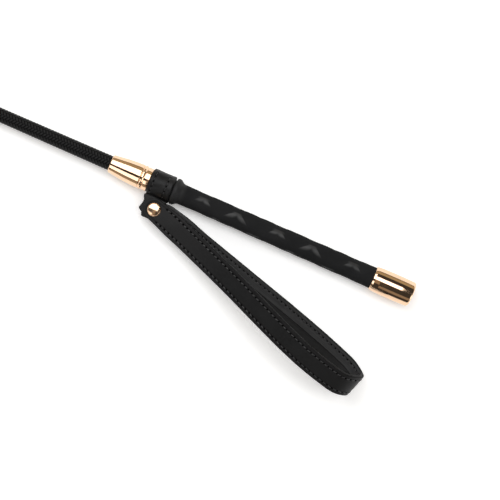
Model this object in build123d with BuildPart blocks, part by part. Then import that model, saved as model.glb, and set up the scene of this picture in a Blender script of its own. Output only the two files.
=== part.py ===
from build123d import *
import math
import os

os.makedirs("parts", exist_ok=True)

# Riding crop. Origin: centre of the pommel's end face. +X runs along the stick to the tip,
# +Y towards the wrist loop, +Z up. Millimetres.

# ---- driving dimensions -------------------------------------------------------------------
overall_length = 640.0

# core rod (solid glass fibre, tapered from the ferrule forward)
rod_r_handle = 4.2
rod_r_tip = 2.8
rod_start = 4.0
rod_taper_start = 228.0
rod_end = 566.0

# braided sleeve
braid_wall = 0.75
braid_start = 206.0
braid_end = 562.0

# end cap (drawn cup)
cap_length = 29.1
cap_r = 8.9
cap_mouth_r = 8.35
cap_bore_r = 7.4
cap_floor = 1.2
cap_edge_r = 2.2
plug_end = 9.0

# grip core and cover
grip_r_pommel = 7.4
grip_r_front = 7.05
core_r = 6.2
neck_r = 7.0
neck_start = 178.2
neck_end = 198.0
cover_start = 9.0
bead_start = 173.2
bead_r = 8.35
bulge_r = 9.3
bulge_x = 175.9

# collar
collar_start = 179.6
collar_end = 194.6
collar_bore_r = 7.1
lining_r = 7.8
collar_r = 9.2
tab_half = 2.0
slit_half = 0.1

# ferrule
ferrule_start = 194.8
ferrule_end = 223.4
ferrule_neck_r = 8.15
ferrule_bead_r = 8.5
ferrule_front_r = 6.55
ferrule_wall = 0.7

# rivet
rivet_x = 183.5
rivet_y = 17.0
post_r = 2.0
hole_r = 2.05
rivet_r = 4.95
leg_inner = 2.1
leg_outer = 4.6

# wrist strap
strap_width = 16.9
outer_ply = 1.4
lining_ply = 1.1
strap_end_r = 7.5
loop_angle = 17.3
# along the loop from the rivet, half gap between the legs' middles, tilt in degrees,
# offset towards the grip, rise of the loop's middle line
leg_stations = [
    (12.0, 3.35, 0.0, 0.0, 0.0),
    (18.0, 3.60, 6.4, 0.29, 0.05),
    (25.0, 4.18, 13.0, 0.62, 0.20),
    (35.0, 5.18, 16.3, 0.61, 0.60),
    (50.0, 6.94, 17.7, 0.46, 1.50),
    (65.0, 8.53, 18.9, 0.24, 3.00),
    (80.0, 10.10, 20.2, -0.06, 4.70),
    (95.0, 11.83, 21.8, -0.45, 6.30),
    (110.0, 13.26, 23.4, -0.86, 7.70),
    (125.0, 14.18, 24.9, -1.26, 8.60),
    (140.0, 14.62, 25.7, -1.49, 9.00),
    (153.0, 14.16, 25.6, -1.45, 8.90),
    (165.0, 13.06, 25.1, -1.28, 8.60),
]
bend_reach = 14.73
bend_tilt = 11.8
bend_offset = -0.45
bend_rise = 8.3
bend_steps = 10

# tip
tip_start = 548.0
tip_end = 574.0
tip_r = 5.6
slot_w = 9.0
keeper_ply = 1.4
keeper_gap = 0.3
keeper_root_end = 575.0
hinge_x = 577.0
keeper_width = 30.0

keeper_half = keeper_ply + keeper_gap / 2


def braid_r(x):
    return rod_r(x) + braid_wall


def rod_r(x):
    if x <= rod_taper_start:
        return rod_r_handle
    f = (x - rod_taper_start) / (rod_end - rod_taper_start)
    return rod_r_handle + (rod_r_tip - rod_r_handle) * f


def dome_mid(radius, level, height):
    """Point half way out on a spherical dome that stands height above level."""
    sphere = (radius ** 2 + height ** 2) / (2 * abs(height))
    drop = sphere - math.sqrt(sphere ** 2 - (radius / 2) ** 2)
    return (radius / 2, level + height - math.copysign(drop, height))


def half_section(*points):
    """Closed half-section (x, r) as a sketch, to be turned about X."""
    with BuildSketch(Plane.XY) as section:
        with BuildLine():
            Polyline(*points, close=True)
        make_face()
    return section.sketch


# ---- core rod -----------------------------------------------------------------------------
with BuildPart() as core_rod:
    revolve(half_section((rod_start, 0), (rod_start, rod_r_handle), (rod_taper_start, rod_r_handle),
            (rod_end, rod_r_tip), (rod_end, 0)), axis=Axis.X)
core_rod.part.label = "core_rod"

# ---- braided sleeve -----------------------------------------------------------------------
with BuildPart() as shaft_braid:
    revolve(half_section((braid_start, rod_r(braid_start)), (rod_taper_start, rod_r_handle),
            (braid_end, rod_r(braid_end)), (braid_end, braid_r(braid_end)),
            (rod_taper_start, braid_r(rod_taper_start)), (braid_start, braid_r(braid_start))), axis=Axis.X)
shaft_braid.part.label = "shaft_braid"

# ---- end cap: cup with a rounded end edge, its mouth drawn in a little ----------------------
with BuildPart() as end_cap:
    with BuildSketch(Plane.XY):
        with BuildLine():
            Polyline((0, 0), (0, cap_r), (20, cap_r), (26.5, cap_r - 0.18),
                     (cap_length, cap_mouth_r), (cap_length, cap_bore_r),
                     (cap_floor, cap_bore_r), (cap_floor, 0), close=True)
        make_face()
        fillet(vertices().sort_by_distance((0, cap_r, 0))[0], radius=cap_edge_r)
    revolve(axis=Axis.X)
end_cap.part.label = "end_cap"

# ---- plug inside the cap, bored for the rod -------------------------------------------------
with BuildPart() as end_plug:
    revolve(half_section((cap_floor, 0), (cap_floor, cap_bore_r), (plug_end, cap_bore_r), (plug_end, rod_r_handle),
            (rod_start, rod_r_handle), (rod_start, 0)), axis=Axis.X)
end_plug.part.label = "end_plug"

# ---- turned handle core, stepped up to the neck that the collar turns on ---------------------
with BuildPart() as handle_core:
    revolve(half_section((plug_end, rod_r_handle), (plug_end, core_r), (bead_start, core_r), (bead_start, neck_r),
            (neck_end, neck_r), (neck_end, rod_r_handle)), axis=Axis.X)
handle_core.part.label = "handle_core"

# ---- bead under the cover's front bulge -----------------------------------------------------
with BuildPart() as neck_bead:
    with BuildSketch(Plane.XY):
        with BuildLine():
            Line((bead_start, neck_r), (neck_start - 0.6, neck_r))
            ThreePointArc((neck_start - 0.6, neck_r), ((bead_start + neck_start - 0.6) / 2, bead_r),
                          (bead_start, neck_r))
        make_face()
    revolve(axis=Axis.X)
neck_bead.part.label = "neck_bead"

# ---- leather grip cover ----------------------------------------------------------------------
with BuildPart() as grip_cover:
    with BuildSketch(Plane.XY):
        with BuildLine():
            Line((cover_start, core_r), (bead_start, core_r))
            Line((bead_start, core_r), (bead_start, neck_r))
            ThreePointArc((bead_start, neck_r), ((bead_start + neck_start - 0.6) / 2, bead_r),
                          (neck_start - 0.6, neck_r))
            Line((neck_start - 0.6, neck_r), (neck_start, neck_r))
            Line((neck_start, neck_r), (neck_start, bulge_r - 0.9))
            Spline((neck_start, bulge_r - 0.9), (bulge_x, bulge_r), (173.4, 8.65), (170.6, 7.35),
                   (168.2, grip_r_front), tangents=[(-0.35, 1), (-1, 0)])
            Line((168.2, grip_r_front), (cap_length, grip_r_pommel))
            Line((cap_length, grip_r_pommel), (cover_start, grip_r_pommel))
            Line((cover_start, grip_r_pommel), (cover_start, core_r))
        make_face()
    revolve(axis=Axis.X)
grip_cover.part.label = "grip_cover"

# ---- shaft ferrule: hollow, tapered nose with a rolled lip, bead and neck at the handle ------
with BuildPart() as shaft_ferrule:
    with BuildSketch(Plane.XY):
        with BuildLine():
            nose_r = ferrule_front_r
            Polyline((ferrule_start, neck_r), (ferrule_start, ferrule_neck_r), (197.9, ferrule_neck_r),
                     (198.25, ferrule_neck_r - 0.35), (198.6, ferrule_neck_r - 0.1))
            ThreePointArc((198.6, ferrule_neck_r - 0.1), (199.5, ferrule_bead_r),
                          (200.4, ferrule_neck_r - 0.1))
            Polyline((200.4, ferrule_neck_r - 0.1), (200.7, ferrule_neck_r - 0.2), (201.1, 8.4),
                     (212.0, 7.72), (221.2, nose_r - 0.05))
            ThreePointArc((221.2, nose_r - 0.05), (222.9, nose_r - 0.25), (ferrule_end, nose_r - 0.95))
            Polyline((ferrule_end, nose_r - 0.95), (ferrule_end, braid_r(ferrule_end)),
                     (221.8, braid_r(221.8)), (221.8, nose_r - ferrule_wall - 0.3),
                     (212.0, 7.72 - ferrule_wall), (201.1, 8.4 - ferrule_wall),
                     (198.0, ferrule_neck_r - ferrule_wall), (195.9, ferrule_neck_r - ferrule_wall),
                     (195.9, neck_r), (ferrule_start, neck_r))
        make_face()
    revolve(axis=Axis.X)
shaft_ferrule.part.label = "shaft_ferrule"

# ---- bush that centres the braided rod in the ferrule ----------------------------------------
with BuildPart() as ferrule_bush:
    revolve(half_section((braid_start, braid_r(braid_start)), (braid_start, 8.4 - ferrule_wall - 0.34),
            (212.0, 7.72 - ferrule_wall - 0.03), (221.2, nose_r - ferrule_wall - 0.26),
            (221.2, braid_r(221.2))), axis=Axis.X)
ferrule_bush.part.label = "ferrule_bush"

# ---- collar: leather band, its two ends brought together as a tab with a rough-cut end ---------
tab_outline = [(collar_start, 7.6), (collar_end, 7.6), (collar_end - 0.3, 9.8), (194.2, 10.6), (192.9, 13.3),
               (193.1, 16.2), (194.1, 19.4), (193.2, 20.6), (191.5, 21.4), (190.5, 23.9), (188.2, 23.7),
               (184.6, 24.3), (182.5, 24.9), (collar_start, 22.6)]
with BuildPart() as collar_leather:
    with BuildSketch(Plane.YZ.offset(collar_start)):
        Circle(collar_r)
    extrude(amount=collar_end - collar_start)
    with BuildSketch(Plane.XY.offset(-tab_half)):
        with BuildLine():
            Polyline(*tab_outline, close=True)
        make_face()
    extrude(amount=2 * tab_half)
    with Locations(((collar_start + collar_end) / 2, 0, 0)):
        Cylinder(lining_r, collar_end - collar_start + 2, rotation=(0, 90, 0), mode=Mode.SUBTRACT)
    with Locations(((collar_start + collar_end) / 2, 17, 0)):
        Box(collar_end - collar_start + 2, 22, 2 * slit_half, mode=Mode.SUBTRACT)
    with Locations((rivet_x, rivet_y, 0)):
        Cylinder(post_r, 2 * tab_half + 2, mode=Mode.SUBTRACT)
collar_leather.part.label = "collar_leather"

with BuildPart() as collar_lining:
    with BuildSketch(Plane.YZ.offset(collar_start + 0.4)):
        Circle(lining_r)
        Circle(collar_bore_r, mode=Mode.SUBTRACT)
    extrude(amount=collar_end - collar_start - 0.8)
collar_lining.part.label = "collar_lining"

# ---- collar stitches: two rows round the band ---------------------------------------------------
stitch_rows = [collar_start + 3.2, collar_end - 3.0]
with BuildPart() as collar_thread:
    for row in stitch_rows:
        with BuildSketch(Plane.YZ.offset(row - 0.3)):
            with PolarLocations(collar_r, 15, start_angle=26, angular_range=308, endpoint=True):
                Rectangle(0.5, 2.4)
        extrude(amount=0.6)
collar_thread.part.label = "collar_thread"

# ---- rivet: post with its lower cap, and the domed upper cap ---------------------------------------
with BuildPart() as rivet_post:
    with BuildSketch(Plane(origin=(rivet_x, rivet_y, 0), x_dir=(1, 0, 0), z_dir=(0, -1, 0))):
        with BuildLine():
            Polyline((0, 5.6), (post_r, 5.6), (post_r, -leg_outer - 0.1), (rivet_r, -leg_outer - 0.1),
                     (rivet_r, -leg_outer - 0.6))
            ThreePointArc((rivet_r, -leg_outer - 0.6), dome_mid(rivet_r, -leg_outer - 0.6, -1.15),
                          (0, -leg_outer - 1.75))
            Line((0, -leg_outer - 1.75), (0, 5.6))
        make_face()
    revolve(axis=Axis((rivet_x, rivet_y, 0), (0, 0, 1)))
rivet_post.part.label = "rivet_post"

with BuildPart() as rivet_cap:
    with BuildSketch(Plane(origin=(rivet_x, rivet_y, 0), x_dir=(1, 0, 0), z_dir=(0, -1, 0))):
        with BuildLine():
            Polyline((post_r, leg_outer + 0.1), (rivet_r, leg_outer + 0.1), (rivet_r, leg_outer + 0.6))
            ThreePointArc((rivet_r, leg_outer + 0.6), dome_mid(rivet_r, leg_outer + 0.6, 1.85),
                          (0, leg_outer + 2.45))
            Polyline((0, leg_outer + 2.45), (0, 5.6), (post_r, 5.6), (post_r, leg_outer + 0.1))
        make_face()
    revolve(axis=Axis((rivet_x, rivet_y, 0), (0, 0, 1)))
rivet_cap.part.label = "rivet_cap"

# ---- wrist strap: one ribbon from the rivet round the bend and back to the rivet ----------------------
a = math.radians(loop_angle)
e_long = Vector(-math.cos(a), math.sin(a), 0)
e_side = Vector(-math.sin(a), -math.cos(a), 0)
e_up = Vector(0, 0, 1)
rivet_pos = Vector(rivet_x, rivet_y, 0)


def station(along, gap, tilt, offset, rise):
    """Middle of the ribbon and its width direction."""
    t = math.radians(tilt)
    across = e_side * math.cos(t) + e_up * math.sin(t)
    normal = e_up * math.cos(t) - e_side * math.sin(t)
    return rivet_pos + e_long * along + e_side * offset + e_up * rise + normal * gap, across


front = [station(*s) for s in leg_stations]
back = [station(s[0], -s[1], s[2], s[3], s[4]) for s in reversed(leg_stations)]
last = leg_stations[-1]
bend = []
for i in range(1, bend_steps):
    p = math.pi * i / bend_steps
    q = math.sin(p) ** 2
    bend.append(station(last[0] + bend_reach * math.sin(p), last[1] * math.cos(p),
                        last[2] + (bend_tilt - last[2]) * q, last[3] + (bend_offset - last[3]) * q,
                        last[4] + (bend_rise - last[4]) * q))
ribbon = front + bend + back
middle = [m for m, w in ribbon]
ribbon_length = sum((middle[i + 1] - middle[i]).length for i in range(len(middle) - 1)) + 2 * (12.0 + strap_end_r)
print("strap flat size: %.1f x %.1f mm" % (ribbon_length, strap_width))

section_planes = []
for i, (m, w) in enumerate(ribbon):
    if i == 0:
        run = e_long
    elif i == len(ribbon) - 1:
        run = e_long * -1
    else:
        run = (middle[i + 1] - middle[i]).normalized() + (middle[i] - middle[i - 1]).normalized()
    run = (run - w * run.dot(w)).normalized()
    section_planes.append(Plane(origin=m, x_dir=w, z_dir=run))
# local +Y of each plane is run x width: towards the outside of the loop
outside = 1 if section_planes[0].y_dir.Z > 0 else -1
half = (outer_ply + lining_ply) / 2


def width_at(i):
    n = len(section_planes)
    edge = min(i, n - 1 - i)
    return [2 * strap_end_r + 0.7, strap_width - 0.3, strap_width][min(edge, 2)]


def ply_sections(low, high):
    """Ribbon sections between two levels, counted from the middle towards the outside of the loop."""
    sections = []
    for i, pl in enumerate(section_planes):
        with BuildSketch(pl) as cut:
            with Locations((0, outside * (low + high) / 2)):
                Rectangle(width_at(i), high - low)
        sections.append(cut.sketch)
    return sections


def thread_sections(across_at, level):
    """Sections of one line of stitching, a little proud of the leather."""
    sections = []
    for pl in section_planes[1:-1]:
        with BuildSketch(pl) as cut:
            with Locations((across_at, outside * level)):
                Rectangle(0.7, 0.45)
        sections.append(cut.sketch)
    return sections


def leg_end(z_low):
    """Outline of a leg's flat rounded end about the rivet, at the level of its lower face."""
    flat = Plane(origin=(rivet_x, rivet_y, z_low), x_dir=e_long, z_dir=(0, 0, 1))
    w = width_at(0) / 2
    with BuildSketch(flat) as outline:
        Circle(strap_end_r)
        with BuildLine():
            Polyline((0, -strap_end_r), (12.0, -w), (12.0, w), (0, strap_end_r), close=True)
        make_face()
    return outline.sketch


mid_leg = leg_inner + lining_ply
with BuildPart() as strap_outer:
    loft(ply_sections(half - outer_ply, half), ruled=True)
    extrude(leg_end(mid_leg), amount=outer_ply)
    extrude(leg_end(-leg_outer), amount=outer_ply)
    with Locations(rivet_pos):
        Cylinder(hole_r, 30, mode=Mode.SUBTRACT)
strap_outer.part.label = "strap_outer"

with BuildPart() as strap_lining:
    loft(ply_sections(-half, half - outer_ply), ruled=True)
    extrude(leg_end(leg_inner), amount=lining_ply)
    extrude(leg_end(-mid_leg), amount=lining_ply)
    with Locations(rivet_pos):
        Cylinder(hole_r, 30, mode=Mode.SUBTRACT)
strap_lining.part.label = "strap_lining"

# ---- strap thread: a line of stitching along each edge, inside and outside -------------------------------
row_in = strap_width / 2 - 3.0
with BuildPart() as strap_thread:
    for across_at in (row_in, -row_in):
        for level in (half - 0.05, -half + 0.05):
            loft(thread_sections(across_at, level), ruled=True)
strap_thread.part.label = "strap_thread"

# ---- tip ferrule with a slot that clamps the keeper ---------------------------------------------------------
with BuildPart() as tip_ferrule:
    with BuildSketch(Plane.XY):
        with BuildLine():
            Polyline((tip_start, braid_r(tip_start)), (tip_start, tip_r - 0.7), (tip_start + 1.2, tip_r),
                     (tip_end - 1.0, tip_r), (tip_end, tip_r - 0.7), (tip_end, 0), (rod_end, 0),
                     (rod_end, rod_r(rod_end)), (braid_end, rod_r(braid_end)), (braid_end, braid_r(braid_end)),
                     close=True)
        make_face()
    revolve(axis=Axis.X)
    with Locations(((rod_end + tip_end) / 2 + 0.5, 0, 0)):
        Box(tip_end - rod_end + 1, slot_w, 2 * keeper_half, mode=Mode.SUBTRACT)
tip_ferrule.part.label = "tip_ferrule"

# ---- keeper: leather strip folded at its free end -------------------------------------------------------------
with BuildPart() as keeper_root:
    with BuildSketch(Plane.XZ.offset(-slot_w / 2)):
        with BuildLine():
            c = hinge_x
            r = keeper_half + 0.25
            Polyline((rod_end, -keeper_half), (rod_end, keeper_half), (c - 1.9, keeper_half))
            ThreePointArc((c - 1.9, keeper_half), (c - math.hypot(1.9, keeper_half), 0), (c - 1.9, -keeper_half))
            Line((c - 1.9, -keeper_half), (rod_end, -keeper_half))
        make_face()
    extrude(amount=slot_w)
keeper_root.part.label = "keeper_root"

with BuildPart() as keeper_leather:
    # side view: two plies with a thin gap, joined by the fold at the free end and a rounded nose
    with BuildSketch(Plane.XZ.offset(-keeper_width / 2 - 1)):
        with BuildLine():
            Line((hinge_x, keeper_half), (overall_length - keeper_half, keeper_half))
            ThreePointArc((overall_length - keeper_half, keeper_half), (overall_length, 0),
                          (overall_length - keeper_half, -keeper_half))
            Line((overall_length - keeper_half, -keeper_half), (hinge_x, -keeper_half))
            ThreePointArc((hinge_x, -keeper_half), (hinge_x - keeper_half, 0), (hinge_x, keeper_half))
        make_face()
        with Locations(((594 + overall_length - keeper_ply - 0.4) / 2, 0)):
            Rectangle(overall_length - keeper_ply - 0.4 - 594, keeper_gap, mode=Mode.SUBTRACT)
    extrude(amount=keeper_width + 2)
    with BuildSketch(Plane.XY.offset(-5)):
        with BuildLine():
            Polyline((hinge_x - 3, -4.4), (582, -4.4), (588, -6.0), (597, -11.8), (603, -14.2), (610, -15.0),
                     (overall_length + 1, -15.0), (overall_length + 1, 15.0), (610, 15.0), (603, 14.2),
                     (597, 11.8), (588, 6.0), (582, 4.4), (hinge_x - 3, 4.4), close=True)
        make_face()
    extrude(amount=10, mode=Mode.INTERSECT)
    with Locations((586.0, 0, 0)):
        Cylinder(1.5, 10, mode=Mode.SUBTRACT)
keeper_leather.part.label = "keeper_leather"

with BuildPart() as keeper_rivet:
    with BuildSketch(Plane(origin=(586.0, 0, 0), x_dir=(1, 0, 0), z_dir=(0, -1, 0))):
        with BuildLine():
            kh = keeper_half
            ThreePointArc((0, kh + 1.0), dome_mid(3.0, kh, 1.0), (3.0, kh))
            Polyline((3.0, kh), (1.5, kh), (1.5, -kh), (3.0, -kh))
            ThreePointArc((3.0, -kh), dome_mid(3.0, -kh, -1.0), (0, -kh - 1.0))
            Line((0, -kh - 1.0), (0, kh + 1.0))
        make_face()
    revolve(axis=Axis((586.0, 0, 0), (0, 0, 1)))
keeper_rivet.part.label = "keeper_rivet"

with BuildPart() as keeper_thread:
    for side in (1, -1):
        for face in (1, -1):
            with Locations(*[(x, side * 12.6, face * keeper_half) for x in range(606, 637, 4)]):
                Box(2.7, 0.5, 0.5)
keeper_thread.part.label = "keeper_thread"

for name in (core_rod, shaft_braid, end_cap, end_plug, handle_core, neck_bead, grip_cover, shaft_ferrule,
             ferrule_bush, collar_leather, collar_lining, collar_thread, rivet_post, rivet_cap,
             strap_outer, strap_lining, strap_thread, tip_ferrule, keeper_root, keeper_leather,
             keeper_rivet, keeper_thread):
    export_step(name.part, "parts/" + name.part.label + ".step")
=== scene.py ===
import bpy
import math
import numpy as np
from mathutils import Matrix, Vector


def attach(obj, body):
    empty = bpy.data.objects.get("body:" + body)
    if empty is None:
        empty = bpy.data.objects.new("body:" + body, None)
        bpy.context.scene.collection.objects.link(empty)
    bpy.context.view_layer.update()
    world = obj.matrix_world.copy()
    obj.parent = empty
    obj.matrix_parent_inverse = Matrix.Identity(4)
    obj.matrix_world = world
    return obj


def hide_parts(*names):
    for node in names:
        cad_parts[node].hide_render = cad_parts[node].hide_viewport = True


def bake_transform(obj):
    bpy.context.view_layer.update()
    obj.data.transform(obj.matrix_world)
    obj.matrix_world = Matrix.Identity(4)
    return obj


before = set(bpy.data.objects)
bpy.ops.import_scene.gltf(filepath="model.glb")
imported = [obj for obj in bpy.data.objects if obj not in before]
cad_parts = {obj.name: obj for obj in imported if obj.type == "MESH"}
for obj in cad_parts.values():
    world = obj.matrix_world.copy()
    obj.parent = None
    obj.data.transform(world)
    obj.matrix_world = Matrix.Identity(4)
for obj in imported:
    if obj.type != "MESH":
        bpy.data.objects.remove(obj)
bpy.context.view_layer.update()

MM = 0.001
rng = np.random.default_rng(7)

# ------------------------------------------------------------------------------------------------
# mesh helpers (all sizes below are in millimetres in the row frame)
# ------------------------------------------------------------------------------------------------


def mesh_object(name, verts, quads, tris=None, material=None, body="shaft", attrs=None,
                sharp=None, replaces=()):
    v = np.asarray(verts, np.float64).reshape(-1, 3) * MM
    q = np.asarray(quads, np.int64).reshape(-1, 4) if len(quads) else np.zeros((0, 4), np.int64)
    t = np.asarray(tris, np.int64).reshape(-1, 3) if tris is not None and len(tris) else np.zeros((0, 3), np.int64)
    me = bpy.data.meshes.new(name)
    me.vertices.add(len(v))
    me.vertices.foreach_set("co", v.astype(np.float32).ravel())
    loops = np.concatenate([q.ravel(), t.ravel()])
    me.loops.add(len(loops))
    me.loops.foreach_set("vertex_index", loops.astype(np.int32))
    counts = np.concatenate([np.full(len(q), 4), np.full(len(t), 3)])
    starts = np.concatenate([[0], np.cumsum(counts)[:-1]]) if len(counts) else np.zeros(0)
    me.polygons.add(len(counts))
    me.polygons.foreach_set("loop_start", starts.astype(np.int32))
    me.polygons.foreach_set("loop_total", counts.astype(np.int32))
    me.update(calc_edges=True)
    me.validate()
    for key, val in (attrs or {}).items():
        a = me.attributes.new(key, "FLOAT", "POINT")
        a.data.foreach_set("value", np.asarray(val, np.float32).ravel())
    me.polygons.foreach_set("use_smooth", np.ones(len(me.polygons), bool))
    if sharp:
        me.set_sharp_from_angle(angle=math.radians(sharp))
    ob = bpy.data.objects.new(name, me)
    bpy.context.scene.collection.objects.link(ob)
    if material:
        me.materials.append(material)
    if body:
        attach(ob, body)
    if replaces:
        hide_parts(*replaces)
    return ob


def grid_quads(nu, nv, wrap_u=False, wrap_v=False, flip=False, base=0):
    iu = np.arange(nu if wrap_u else nu - 1)
    iv = np.arange(nv if wrap_v else nv - 1)
    a, b = np.meshgrid(iu, iv, indexing="ij")
    a2, b2 = (a + 1) % nu, (b + 1) % nv
    f = np.stack([a * nv + b, a2 * nv + b, a2 * nv + b2, a * nv + b2], -1).reshape(-1, 4)
    if flip:
        f = f[:, ::-1]
    return f + base


def rounded(points, n=7):
    """Open polyline (x, r, fillet) with its corners rounded."""
    out = []
    for i, p in enumerate(points):
        x, r = p[0], p[1]
        f = p[2] if len(p) > 2 else 0
        if f <= 0 or i == 0 or i == len(points) - 1:
            out.append((x, r))
            continue
        c = np.array([x, r], float)
        a = np.array(points[i - 1][:2], float) - c
        b = np.array(points[i + 1][:2], float) - c
        la, lb = np.linalg.norm(a), np.linalg.norm(b)
        a, b = a / la, b / lb
        ang = math.acos(max(-1, min(1, float(a @ b))))
        cut = min(f / math.tan(ang / 2), la * 0.49, lb * 0.49)
        rad = cut * math.tan(ang / 2)
        mid = (a + b) / np.linalg.norm(a + b)
        centre = c + mid * rad / math.sin(ang / 2)
        p0, p1 = c + a * cut - centre, c + b * cut - centre
        t0, t1 = math.atan2(p0[1], p0[0]), math.atan2(p1[1], p1[0])
        dt = (t1 - t0 + math.pi) % (2 * math.pi) - math.pi
        for k in range(n + 1):
            t = t0 + dt * k / n
            out.append((centre[0] + rad * math.cos(t), centre[1] + rad * math.sin(t)))
    return out


def lathe(name, profile, segs, material, body, replaces=(), axis="x", at=(0, 0, 0), sharp=40, wobble=None):
    """Turns an open or closed half-section (along, radius). Points on the axis become one vertex."""
    prof = np.array(profile, float)
    th = np.arange(segs) * 2 * math.pi / segs
    verts, rings = [], []
    for k, (a, r) in enumerate(prof):
        if r < 1e-6:
            rings.append([len(verts)])
            verts.append((a, 0, 0))
        else:
            rings.append(list(range(len(verts), len(verts) + segs)))
            for t in th:
                verts.append((a, r * math.cos(t), r * math.sin(t)))
    quads, tris = [], []
    for k in range(len(rings) - 1):
        A, B = rings[k], rings[k + 1]
        for j in range(segs):
            j2 = (j + 1) % segs
            if len(A) == 1 and len(B) > 1:
                tris.append((A[0], B[j2], B[j]))
            elif len(B) == 1 and len(A) > 1:
                tris.append((A[j], A[j2], B[0]))
            elif len(A) > 1:
                quads.append((A[j], A[j2], B[j2], B[j]))
    v = np.array(verts, float)
    if axis == "z":
        v = np.stack([v[:, 1], v[:, 2], v[:, 0]], -1)
    v = v + np.array(at, float)
    return mesh_object(name, v, quads, tris, material, body, sharp=sharp, replaces=replaces)


# ------------------------------------------------------------------------------------------------
# materials
# ------------------------------------------------------------------------------------------------


def base_material(name):
    m = bpy.data.materials.new(name)
    m.use_nodes = True
    nt = m.node_tree
    return m, nt, nt.nodes["Principled BSDF"]


def node(nt, kind, **settings):
    n = nt.nodes.new(kind)
    for k, v in settings.items():
        if k in n.inputs:
            n.inputs[k].default_value = v
        else:
            setattr(n, k, v)
    return n


def ramp(nt, source, stops):
    r = nt.nodes.new("ShaderNodeValToRGB")
    el = r.color_ramp.elements
    while len(el) < len(stops):
        el.new(0.5)
    for e, (p, c) in zip(el, stops):
        e.position = p
        e.color = (c[0], c[1], c[2], 1) if isinstance(c, tuple) else (c, c, c, 1)
    nt.links.new(source, r.inputs[0])
    return r


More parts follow.
